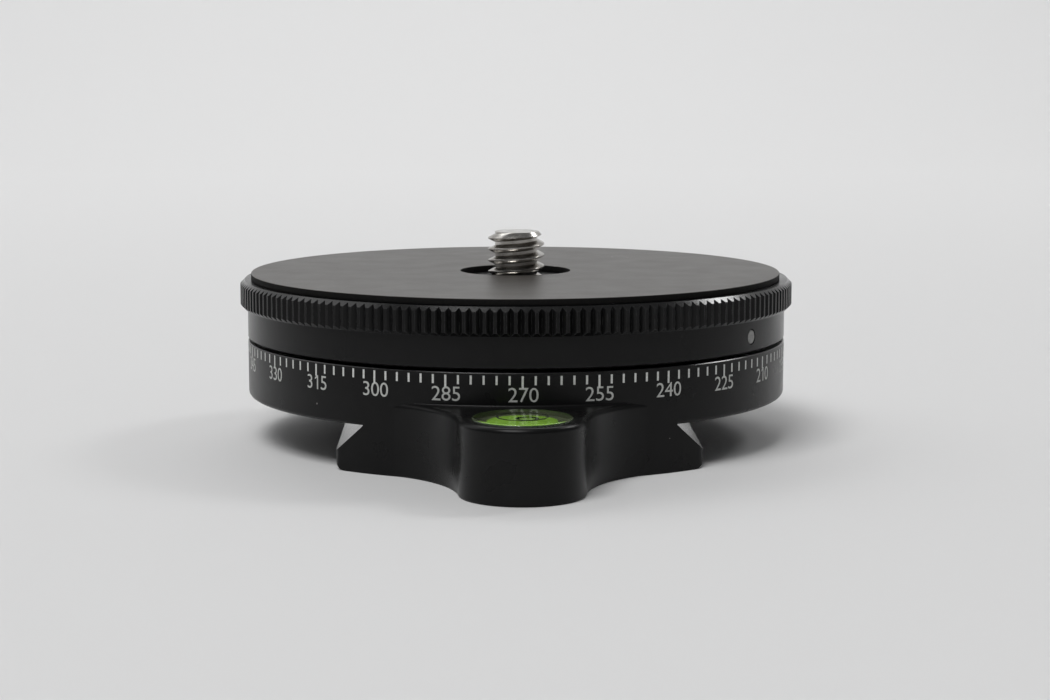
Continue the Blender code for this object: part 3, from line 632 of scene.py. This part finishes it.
for height, new_height in ((crest_top, groove_top), (crest_bottom, groove_bottom)):
    pick("VERT", lambda vert: abs(vert.co.y) < same_place
         and abs(vert.co.x - crest_radius) < same_place and abs(vert.co.z - height) < same_place)
    bpy.ops.transform.translate(value=(groove_radius - crest_radius, 0, new_height - height))
for side in (1, -1):                # the grooves are wider than the teeth between them
    pick("VERT", lambda vert: vert.co.x > 0.0301 and 0.0001 < side * vert.co.y < 0.0004)
    turn_selected(side * groove_spread * pitch)
bpy.ops.mesh.select_all(action="SELECT")
sweep((0, 0, 0), 360 - pitch, teeth - 1, copies=True)
merge_doubles(turned_gap)
turn_outwards()
object_mode()
dot_turn, dot_height, dot_radius = -34.9, 0.01305, 0.00072
dimple_room, dimple_floor, dimple_end = 0.0001, 0.02984, 0.0304
dimple = add_cylinder("index_dimple", dot_radius + dimple_room, dimple_floor, dimple_end, 48,
                      (0, dot_height), "Y")
edit_mode()
turn_selected(dot_turn - 90)
object_mode()
combine(rotor, dimple, "DIFFERENCE")
finish_piece(rotor, "rotor",
             black_anodised("rotor_anodising", rough=(0.20, 0.26), rubbed=0.8), ["rotor"], 25)
assign_faces(rotor, chamfer_finish,
             lambda face: 0.4 < face.normal.z < 0.95 and height_of(face) > 0.0172)


# Pad: a thin round sheet glued over the rotor and its plate. Its face is smooth and a little
# shiny, so it shows grey against the light, with wiping marks and dust on it.
pad_radius, pad_hole, pad_bottom, pad_top = 0.02971, 0.00620, 0.01789, 0.01854
pad_shift = -0.00009                # it is glued a little off the middle


def add_ring(name, outer, inner, low, high, steps, centre=(0, 0)):
    """A flat ring: a cylinder whose two faces are inset and bridged."""
    ring = add_cylinder(name, outer, low, high, steps, centre)
    edit_mode()
    pick("FACE", lambda face: abs(face.normal.z) > 0.9)
    bpy.ops.mesh.inset(thickness=outer - inner)
    bpy.ops.mesh.bridge_edge_loops()
    turn_outwards()
    object_mode()
    return ring


pad = add_ring("pad_sheet", pad_radius, pad_hole, pad_bottom, pad_top, 256)
edit_mode()
round_edges(level_with(pad_top), 0.00008, 3)
bpy.ops.mesh.select_all(action="SELECT")
bpy.ops.transform.translate(value=(pad_shift, 0, 0))
object_mode()
pad_finish, shader, place = new_finish("pad_sheet_black")
pad_skin = place_effect(grain, place, Pits=5000.0)
pad_dust = place_effect(dust, place, Cells=450.0, Share=0.35, Size=0.06)
feed_all(shader, {
    "Base Color": mix_node(pad_dust["Specks"], (0.042, 0.038, 0.034), (0.45, 0.44, 0.42)),
    "Roughness": range_node(pad_skin["Blotch"], 0.0, 1.0, 0.33, 0.37),
    "Specular Tint": (1.0, 0.93, 0.86), "Specular IOR Level": 0.25,
    "Normal": bump_node(pad_skin["Height"], 0.00001, 0.4)})
finish_piece(pad, "rotor", pad_finish, ["top_pad"])
# Painted shade: the pad's upright cut side is painted near black, much darker than its face, for
# the little light it gets; it is also given a matt finish.
side_painted_shade = uneven_finish("pad_side_painted_shade", (0.004, 0.004, 0.004), (0.009, 0.0085, 0.008), 0.7,
                         5000.0)
feed_all(side_painted_shade.node_tree.nodes["Principled BSDF"], {"Specular IOR Level": 0.12})
assign_faces(pad, side_painted_shade, lambda face: abs(face.normal.z) < 0.5)


# Stud: 1/4 inch, 20 threads per inch, bright stainless steel. One turn of the thread is drawn
# and wound up by a Screw modifier, then the ends are cut off and the tip is chamfered.
stud_radius, stud_pitch, stud_turns, stud_top, stud_foot = 0.003175, 0.00127, 7.58, 0.02294, 0.0155
tip_radius, tip_low, tip_over, tip_chamfer = 0.0034, 0.012, 0.0001, 0.00095
hexagon_radius, hexagon_bottom, cut_gap = 0.0060, 0.01319, 0.0000001


def wind_thread(name, crest, pitch, start, low, high, steps, crown=((0, 0.44), (0, 0.56))):
    """A threaded rod on Z: one turn is drawn, wound up from its start and cut to length.

    The crown lists the crest's corners: how far each lies under it, and its share of the pitch.
    """
    root = crest - 0.6134 * pitch
    rod = start_outline(name, (root, 0, start))
    corners = [(root, 0.125), *[(crest - drop, share) for drop, share in crown],
               (root, 0.875), (root, 1)]
    draw_line(*[(radius, 0, start + share * pitch) for radius, share in corners])
    object_mode()
    apply_modifier(rod, "SCREW", screw_offset=pitch, steps=steps, render_steps=steps,
                   iterations=math.ceil((high - low) / pitch) + 2,
                   use_merge_vertices=True, merge_threshold=fine_gap)
    edit_mode()
    merge_doubles(fine_gap)
    for height, above in ((low, True), (high, False)):
        bpy.ops.mesh.select_all(action="SELECT")
        bpy.ops.mesh.bisect(plane_co=(0, 0, height), plane_no=(0, 0, 1), use_fill=True,
                            clear_inner=above, clear_outer=not above, threshold=cut_gap)
    turn_outwards()
    object_mode()
    return rod


stud = wind_thread("stud_dressed", stud_radius, stud_pitch, stud_top - stud_turns * stud_pitch,
                   stud_foot, stud_top, 72,
                   ((0.00004, 0.4175), (0, 0.45), (0, 0.55), (0.00004, 0.5825)))
tip = add_cylinder("stud_tip", tip_radius, tip_low, stud_top + tip_over, 96)
edit_mode()
round_edges(level_with(stud_top + tip_over), tip_chamfer)
object_mode()
combine(stud, tip, "INTERSECT")
combine(stud, add_cylinder("stud_head", hexagon_radius, hexagon_bottom, plate_seat, 6), "UNION")
steel, shader, place = new_finish("stud_steel")
flattened = add_node(steel.node_tree, "Mapping", {"Vector": place, "Scale": (1, 1, 30)})
lines = noise_node(flattened.outputs["Vector"], 900.0, 4.0, 0.6)
smear = range_node(noise_node(place, 900.0), 0.35, 0.65)
feed_all(shader, {"Base Color": mix_node(smear, (0.43, 0.41, 0.38), (0.64, 0.62, 0.59)),
                  "Roughness": range_node(lines, 0.3, 0.7, 0.14, 0.27), "Metallic": 1.0,
                  "Normal": bump_node(lines, 0.000008, 0.35)})
finish_piece(stud, "rotor", steel, ["stud"], 22)


# Index dot: grey paint in a shallow dimple of the rotor's skirt, which reads about 215. It is
# dabbed in with a small brush, so its rim is round and its colour is a little uneven.
dot_floor, dot_face = 0.02989, 0.03017
index_dot = add_cylinder("index_dot_painted", dot_radius, dot_floor, dot_face, 48,
                         (0, dot_height), "Y")
edit_mode()
round_edges(level_with(dot_face, axis=1), 0.00006, 2)
bpy.ops.mesh.select_all(action="SELECT")
turn_selected(dot_turn - 90)
object_mode()
finish_piece(index_dot, "rotor",
             uneven_finish("dot_paint", (0.24, 0.24, 0.235), (0.36, 0.36, 0.35), 0.55, 3000.0),
             ["index_dot"])


# Bullseye level: a clear acrylic cup full of liquid, drawn as one clear solid. Its wall shows
# olive, its lime green floor stands higher in it, and a black ring is printed on the window.
level_top, level_bottom, level_radius, level_band = 0.00780, 0.00390, 0.0050, 0.0064
floor_bottom, floor_top, floor_radius = 0.00400, 0.00495, 0.0035
ring_outer, ring_inner, ring_sunk, ring_proud = 0.00257, 0.00243, 0.00001, 0.00005
bubble_outer, bubble_inner, bubble_bottom, bubble_top = 0.00116, 0.00080, 0.00690, 0.00714
bubble_x, bubble_y, bubble_lean = 0.00045, level_y - 0.0003, 0.00027
level_body = add_cylinder("level_body", level_radius, level_bottom, level_top, 128, (0, level_y))
edit_mode()
round_edges(level_with(level_top), 0.0002, 3)
bpy.ops.mesh.select_all(action="SELECT")
bpy.ops.mesh.bisect(plane_co=(0, 0, level_band), plane_no=(0, 0, 1), threshold=cut_gap)
object_mode()
window, shader, place = new_finish("level_window")
feed_all(shader, {"Base Color": (0.90, 0.97, 0.86), "Roughness": 0.13, "Specular IOR Level": 0.3,
                  "IOR": 1.49, "Transmission Weight": 1.0})
light_path = add_node(window.node_tree, "LightPath", {})
through = add_node(window.node_tree, "BsdfTransparent", {"Color": (0.80, 0.92, 0.72)})
either = add_node(window.node_tree, "MixShader", {
    "Fac": light_path.outputs["Is Shadow Ray"], 1: shader.outputs["BSDF"],
    2: through.outputs["BSDF"]})
feed(window.node_tree.nodes["Material Output"].inputs["Surface"], either.outputs["Shader"])
finish_piece(level_body, "base", window, ["level_vial", "level_fluid"])
assign_faces(level_body,
             uneven_finish("level_wall_olive", (0.095, 0.097, 0.070), (0.15, 0.152, 0.115), 0.6),
             lambda face: face.normal.z < 0.1 and height_of(face) < level_band)
# Painted light: the top band of the wall is painted green, for the light caught inside the top of
# the window's wall.
assign_faces(level_body,
             uneven_finish("level_band_painted_light", (0.080, 0.098, 0.060), (0.12, 0.14, 0.088), 0.6),
             lambda face: abs(face.normal.z) < 0.05 and height_of(face) > level_band)
# Painted light: the rounded rim of the clear window is painted green, for the light it catches;
# its glint still comes from the lamps.
assign_faces(level_body,
             uneven_finish("level_rim_painted_light", (0.045, 0.070, 0.040), (0.07, 0.10, 0.06), 0.22),
             lambda face: 0.05 < face.normal.z < 0.5)


def coat_node(node, finish):
    """Give a CAD node that stays visible its finish."""
    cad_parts[node].data.materials.clear()
    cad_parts[node].data.materials.append(finish)


lime = uneven_finish("level_floor_lime", (0.29, 0.50, 0.062), (0.35, 0.58, 0.082), 0.5, 700.0)
level_floor = add_cylinder("level_floor", floor_radius, floor_bottom, floor_top, 96, (0, level_y))
edit_mode()
round_edges(level_with(floor_top), 0.00008, 2)
object_mode()
finish_piece(level_floor, "base", lime)
coat_node("level_backing", lime)

ring_ink, shader, place = new_finish("ring_ink")
feed_all(shader, {"Base Color": mix_node(noise_node(place, 4000.0, 2.0), (0.004, 0.004, 0.004),
                                         (0.012, 0.012, 0.010)), "Roughness": 0.5})
level_ring = add_ring("level_ring", ring_outer, ring_inner, level_top - ring_sunk,
                      level_top + ring_proud, 96, (0, level_y))
finish_piece(level_ring, "base", ring_ink)

# Painted shade: the bubble, a void in the liquid, is drawn as a dark ring for its edge, which
# bends the light away.
bubble = add_ring("level_bubble", bubble_outer, bubble_inner, bubble_bottom, bubble_top, 64,
                  (bubble_x, bubble_y))
edit_mode()
pick("VERT", lambda vert: math.hypot(vert.co.x - bubble_x, vert.co.y - bubble_y) < 0.00100)
bpy.ops.transform.translate(value=(0, -bubble_lean, 0))     # painted shade: the dark ring is drawn widest at the far side, where the bubble's edge looks darkest
round_edges(level_with(bubble_bottom, bubble_top), 0.00004, 3)
object_mode()
bubble_edge_painted_shade, shader, place = new_finish("bubble_edge_painted_shade")
feed_all(shader, {"Base Color": mix_node(noise_node(place, 2500.0, 2.0), (0.004, 0.007, 0.002),
                                         (0.03, 0.05, 0.012)), "Roughness": 0.15})
finish_piece(bubble, "base", bubble_edge_painted_shade)


# Lock knob and cap, at the rear: a turned knob with 24 grooves on an M4 screw, and a thin
# turned disc that covers its bore. One tooth of the knob is drawn, then set round the axis.
knob_teeth, knob_radius, knob_start, knob_end = 24, 0.0065, 0.0339, 0.04375
neck_radius, neck_reach, face_radius = 0.0036, 0.0350, 0.0059
round_radius, round_reaches = 0.00632, (0.03518, 0.0356, 0.04315, 0.04357)
cap_seat, knob_groove, knob_bore_end = 0.04290, 0.00042, 0.0404
cap_radius, cap_start, cap_end = 0.0035, 0.04295, 0.04365
knob_pitch, knob_axis = 360 / knob_teeth, (0, 0, lock_z)
knob_profile = [(neck_radius, knob_start), (neck_radius, neck_reach), (face_radius, neck_reach),
                (round_radius, round_reaches[0]), (knob_radius, round_reaches[1]),
                (knob_radius, round_reaches[2]), (round_radius, round_reaches[3]),
                (face_radius, knob_end), (neck_radius, knob_end), (neck_radius, cap_seat),
                (0.0, cap_seat)]
lock_knob = start_outline("lock_knob_dressed", (0, knob_start, lock_z))
draw_line(*[(radius, reach, lock_z) for radius, reach in knob_profile])
bpy.ops.mesh.select_all(action="SELECT")
turn_selected(knob_pitch / 2, "Y", knob_axis)
sweep(knob_axis, -knob_pitch, 8, "Y")
pick("VERT", lambda vert: abs(vert.co.z - lock_z) < same_place and vert.co.x > 0.00630
     and any(abs(vert.co.y - reach) < same_place for reach in round_reaches))
bpy.ops.transform.translate(value=(-knob_groove, 0, 0))
bpy.ops.mesh.select_all(action="SELECT")
sweep(knob_axis, knob_pitch - 360, knob_teeth - 1, "Y", copies=True)
merge_doubles(turned_gap)
turn_outwards()
object_mode()
bore(lock_knob, lock_hole, knob_start - overrun, knob_bore_end, 48, (0, lock_z), "Y")
finish_piece(lock_knob, "lock_knob", black_anodised("knob_anodising"),
             ["lock_knob"], 30)

knob_cap = add_cylinder("knob_cap_turned", cap_radius, cap_start, cap_end, 96, (0, lock_z), "Y")
edit_mode()
pick("FACE", lambda face: face.normal.y > 0.9)
for width, depth in ((0.0002, 0), (0.0008, 0), (0.00015, -0.00008), (0.0018, 0),
                     (0.0002, -0.0001)):
    bpy.ops.mesh.inset(thickness=width, depth=depth)
round_edges(lambda edge: all(abs(vert.co.y - cap_end) < fine_gap
                             and abs(math.hypot(vert.co.x, vert.co.z - lock_z) - cap_radius)
                             < 0.000005 for vert in edge.verts), 0.0001, 2)
object_mode()


def turned_metal(name, dark, pale, rough, centre=(0, 0, 0), axis="Z"):
    """Turned bare metal: fine rings round an axis in the gloss and the bump, and a slow smear in
    the colour.
    """
    finish, shader, place = new_finish(name)
    centred = add_node(finish.node_tree, "Mapping", {"Vector": place,
                                                     "Location": [-value for value in centre]})
    rings = add_node(finish.node_tree, "TexWave", {
        "Vector": centred.outputs["Vector"], "Scale": 2600.0, "Distortion": 2.0, "Detail": 3.0})
    rings.wave_type, rings.rings_direction = "RINGS", axis
    smear = range_node(noise_node(place, 800.0), 0.3, 0.7)
    feed_all(shader, {"Base Color": mix_node(smear, dark, pale),
                      "Roughness": range_node(rings.outputs["Fac"], 0.0, 1.0, *rough),
                      "Metallic": 1.0, "Normal": bump_node(rings.outputs["Fac"], 0.000004, 0.5)})
    return finish


finish_piece(knob_cap, "lock_knob",
             turned_metal("cap_aluminium", (0.52, 0.52, 0.53), (0.68, 0.68, 0.69), (0.22, 0.38),
                          knob_axis, "Y"), ["knob_cap"])


# Lock screw: a blackened M4 screw, 0.7 mm a turn, that joins the knob to the brake shoe. Both
# of its ends are chamfered.
screw_radius, screw_pitch, screw_start, screw_end = 0.0020, 0.0007, 0.0272, 0.0402
dark_steel, shader, place = new_finish("screw_steel")
rubbed = range_node(noise_node(place, 1800.0, 4.0, 0.6), 0.45, 0.75)
feed_all(shader, {"Base Color": mix_node(rubbed, (0.035, 0.035, 0.038), (0.11, 0.105, 0.10)),
                  "Roughness": range_node(rubbed, 0.0, 1.0, 0.30, 0.48), "Metallic": 1.0})
lock_screw = wind_thread("lock_screw_threaded", screw_radius, screw_pitch,
                         screw_start - screw_pitch, screw_start, screw_end, 48)
edit_mode()
turn_selected(-90, "X")
bpy.ops.transform.translate(value=(0, 0, lock_z))
object_mode()
tips = add_cylinder("lock_screw_tips", screw_radius, screw_start, screw_end, 48, (0, lock_z), "Y")
edit_mode()
round_edges(lambda edge: abs(edge.verts[0].co.y - edge.verts[1].co.y) < same_place, 0.0003)
object_mode()
combine(lock_screw, tips, "INTERSECT")
finish_piece(lock_screw, "lock_knob", dark_steel, ["lock_screw"], 25)


# Tripod bush: a flanged steel socket with a 3/8 inch thread, 16 per inch, pressed up into the
# foot. The thread is wound as a rod and cut out of the bush.
bush_radius, bush_bottom, bush_top, bush_bore = 0.0061, 0.00005, 0.00945, 0.0040
flange_radius, flange_bottom, flange_top = 0.0076, 0.00475, 0.00615
tap_radius, tap_pitch, tap_low, tap_high = 0.0047625, 0.0015875, -0.0015, 0.0110
mouth_radius, mouth_low, mouth_top, mouth_share = 0.0048, -0.0005, 0.0009, 0.8
bush = add_cylinder("tripod_bush_threaded", bush_radius, bush_bottom, bush_top, 96)
combine(bush, add_cylinder("bush_flange", flange_radius, flange_bottom, flange_top, 96), "UNION")
bore(bush, bush_bore, -overrun, bush_top + overrun, 96)
combine(bush, wind_thread("bush_tap", tap_radius, tap_pitch, tap_low - tap_pitch, tap_low,
                          tap_high, 60), "DIFFERENCE")
mouth = add_cylinder("bush_mouth", mouth_radius, mouth_low, mouth_top, 96)
edit_mode()
taper(mouth_share)
object_mode()
combine(bush, mouth, "DIFFERENCE")
finish_piece(bush, "base",
             turned_metal("bush_steel", (0.50, 0.49, 0.47), (0.66, 0.65, 0.62), (0.20, 0.34)),
             ["tripod_bush"], 25)


# Screws of the hub and of the top plate: blackened countersunk screws with hexagon sockets.
# Those of the hub point up through the foot. Those of the plate keep their CAD shapes.
shank, head, screw_face, screw_length = 0.0015, 0.0028, 0.0001, 0.0115
for number, place in enumerate(screw_places, 1):
    hub_screw = add_cylinder(f"hub_screw_dressed_{number}", shank, screw_face,
                             screw_face + screw_length, 32, place)
    edit_mode()
    round_edges(level_with(screw_face + screw_length), 0.0003)
    object_mode()
    cone = add_cylinder("screw_cone", head, screw_face, screw_face + (0.0002 + head - shank), 48,
                        place)
    edit_mode()
    taper(shank / head, place)
    pick("FACE", lambda face: face.normal.z < -0.9)
    bpy.ops.mesh.bevel(offset=0.00008, segments=1, affect="EDGES")
    object_mode()
    combine(hub_screw, cone, "UNION")
    bore(hub_screw, head * 0.5, screw_face - overrun, screw_face + head * 0.55, 6, place)
    finish_piece(hub_screw, "base", dark_steel, [f"hub_screw_{number}"], 25)
    coat_node(f"top_plate_screw_{number}", dark_steel)


# Hidden pieces keep their CAD shapes: hub, thrust washers, sleeve, wave spring and brake shoe
# inside the base, and the top plate, which shows only through the pad's hole.
acetal = uneven_finish("washer_acetal", (0.70, 0.69, 0.65), (0.80, 0.79, 0.75), (0.40, 0.50),
                       1500.0)
for node in ("lower_thrust_washer", "radial_bush", "upper_thrust_washer"):
    coat_node(node, acetal)
coat_node("hub", turned_metal("hub_aluminium", (0.52, 0.52, 0.53), (0.66, 0.66, 0.67),
                              (0.25, 0.40)))
coat_node("wave_spring", uneven_finish("spring_metal", (0.34, 0.34, 0.36), (0.46, 0.46, 0.48),
                                       (0.25, 0.35), 1500.0, 1.0))
coat_node("brake_shoe", uneven_finish("shoe_brass", (0.60, 0.42, 0.16), (0.74, 0.55, 0.24),
                                      (0.25, 0.40), 1500.0, 1.0))
coat_node("top_plate", black_anodised("plate_anodising"))


# The camera stands a little left of the middle, about 27 cm in front of the pan axis and
# just above the turntable, and looks down on it by 7.6 degrees through a long lens.
camera_data = bpy.data.cameras.new("camera")
camera_data.lens = 80.9
camera_data.sensor_width = 36
camera_data.clip_start = 0.01
camera = bpy.data.objects.new("camera", camera_data)
camera.location = (-0.004379, -0.265724, 0.0450)
camera.rotation_euler = (math.radians(90 - 7.63), 0, -0.02026)
bpy.context.scene.collection.objects.link(camera)
bpy.context.scene.camera = camera
bpy.context.scene.view_settings.view_transform = "Standard"


# Floor and backdrop: one sheet of pale matt paper, 3 m wide, that lies under the object and
# rises behind it in a wide curve.
paper_half, paper_front, curve_start, curve_radius, paper_height = 1.5, -1.2, 0.5, 0.4, 2.0
backdrop = start_outline("backdrop", (-paper_half, paper_front, 0))
draw_line((-paper_half, curve_start, 0))
sweep((-paper_half, curve_start, curve_radius), 90, 24, "X")
draw_line((-paper_half, curve_start + curve_radius, paper_height))
bpy.ops.mesh.select_all(action="SELECT")
extrude((2 * paper_half, 0, 0))
object_mode()
bpy.ops.object.shade_smooth()
paper, shader, place = new_finish("backdrop_paper")
feed_all(shader, {"Base Color": (0.70, 0.70, 0.70), "Roughness": 0.8})
backdrop.data.materials.append(paper)


# Light: two soft boxes behind the sides, a wide one overhead in front, one over the backdrop,
# and a pale room.
for name, place, aim, size, power in (
        ("softbox_right", (1.17, 0.82, 1.25), (0, 0, 0.01), (0.40, 0.40), 6.5),
        ("softbox_left", (-1.08, 0.68, 1.05), (0, 0, 0.01), (1.25, 1.25), 4.0),
        ("softbox_top", (-0.42, -0.75, 1.55), (0, 0, 0.01), (0.9, 0.9), 19.2),
        ("softbox_back", (0, 0.55, 0.60), (0, 0.55, 0), (0.6, 0.4), 1.25)):
    light_data = bpy.data.lights.new(name, "AREA")
    light_data.shape = "RECTANGLE"
    light_data.size, light_data.size_y = size
    light_data.energy = power
    light = bpy.data.objects.new(name, light_data)
    light.location = place
    light.rotation_euler = (Vector(aim) - Vector(place)).to_track_quat("-Z", "Y").to_euler()
    bpy.context.scene.collection.objects.link(light)
room = bpy.data.worlds.new("room")
room.use_nodes = True
feed_all(room.node_tree.nodes["Background"], {"Color": (0.93, 0.94, 0.96), "Strength": 0.13})
bpy.context.scene.world = room
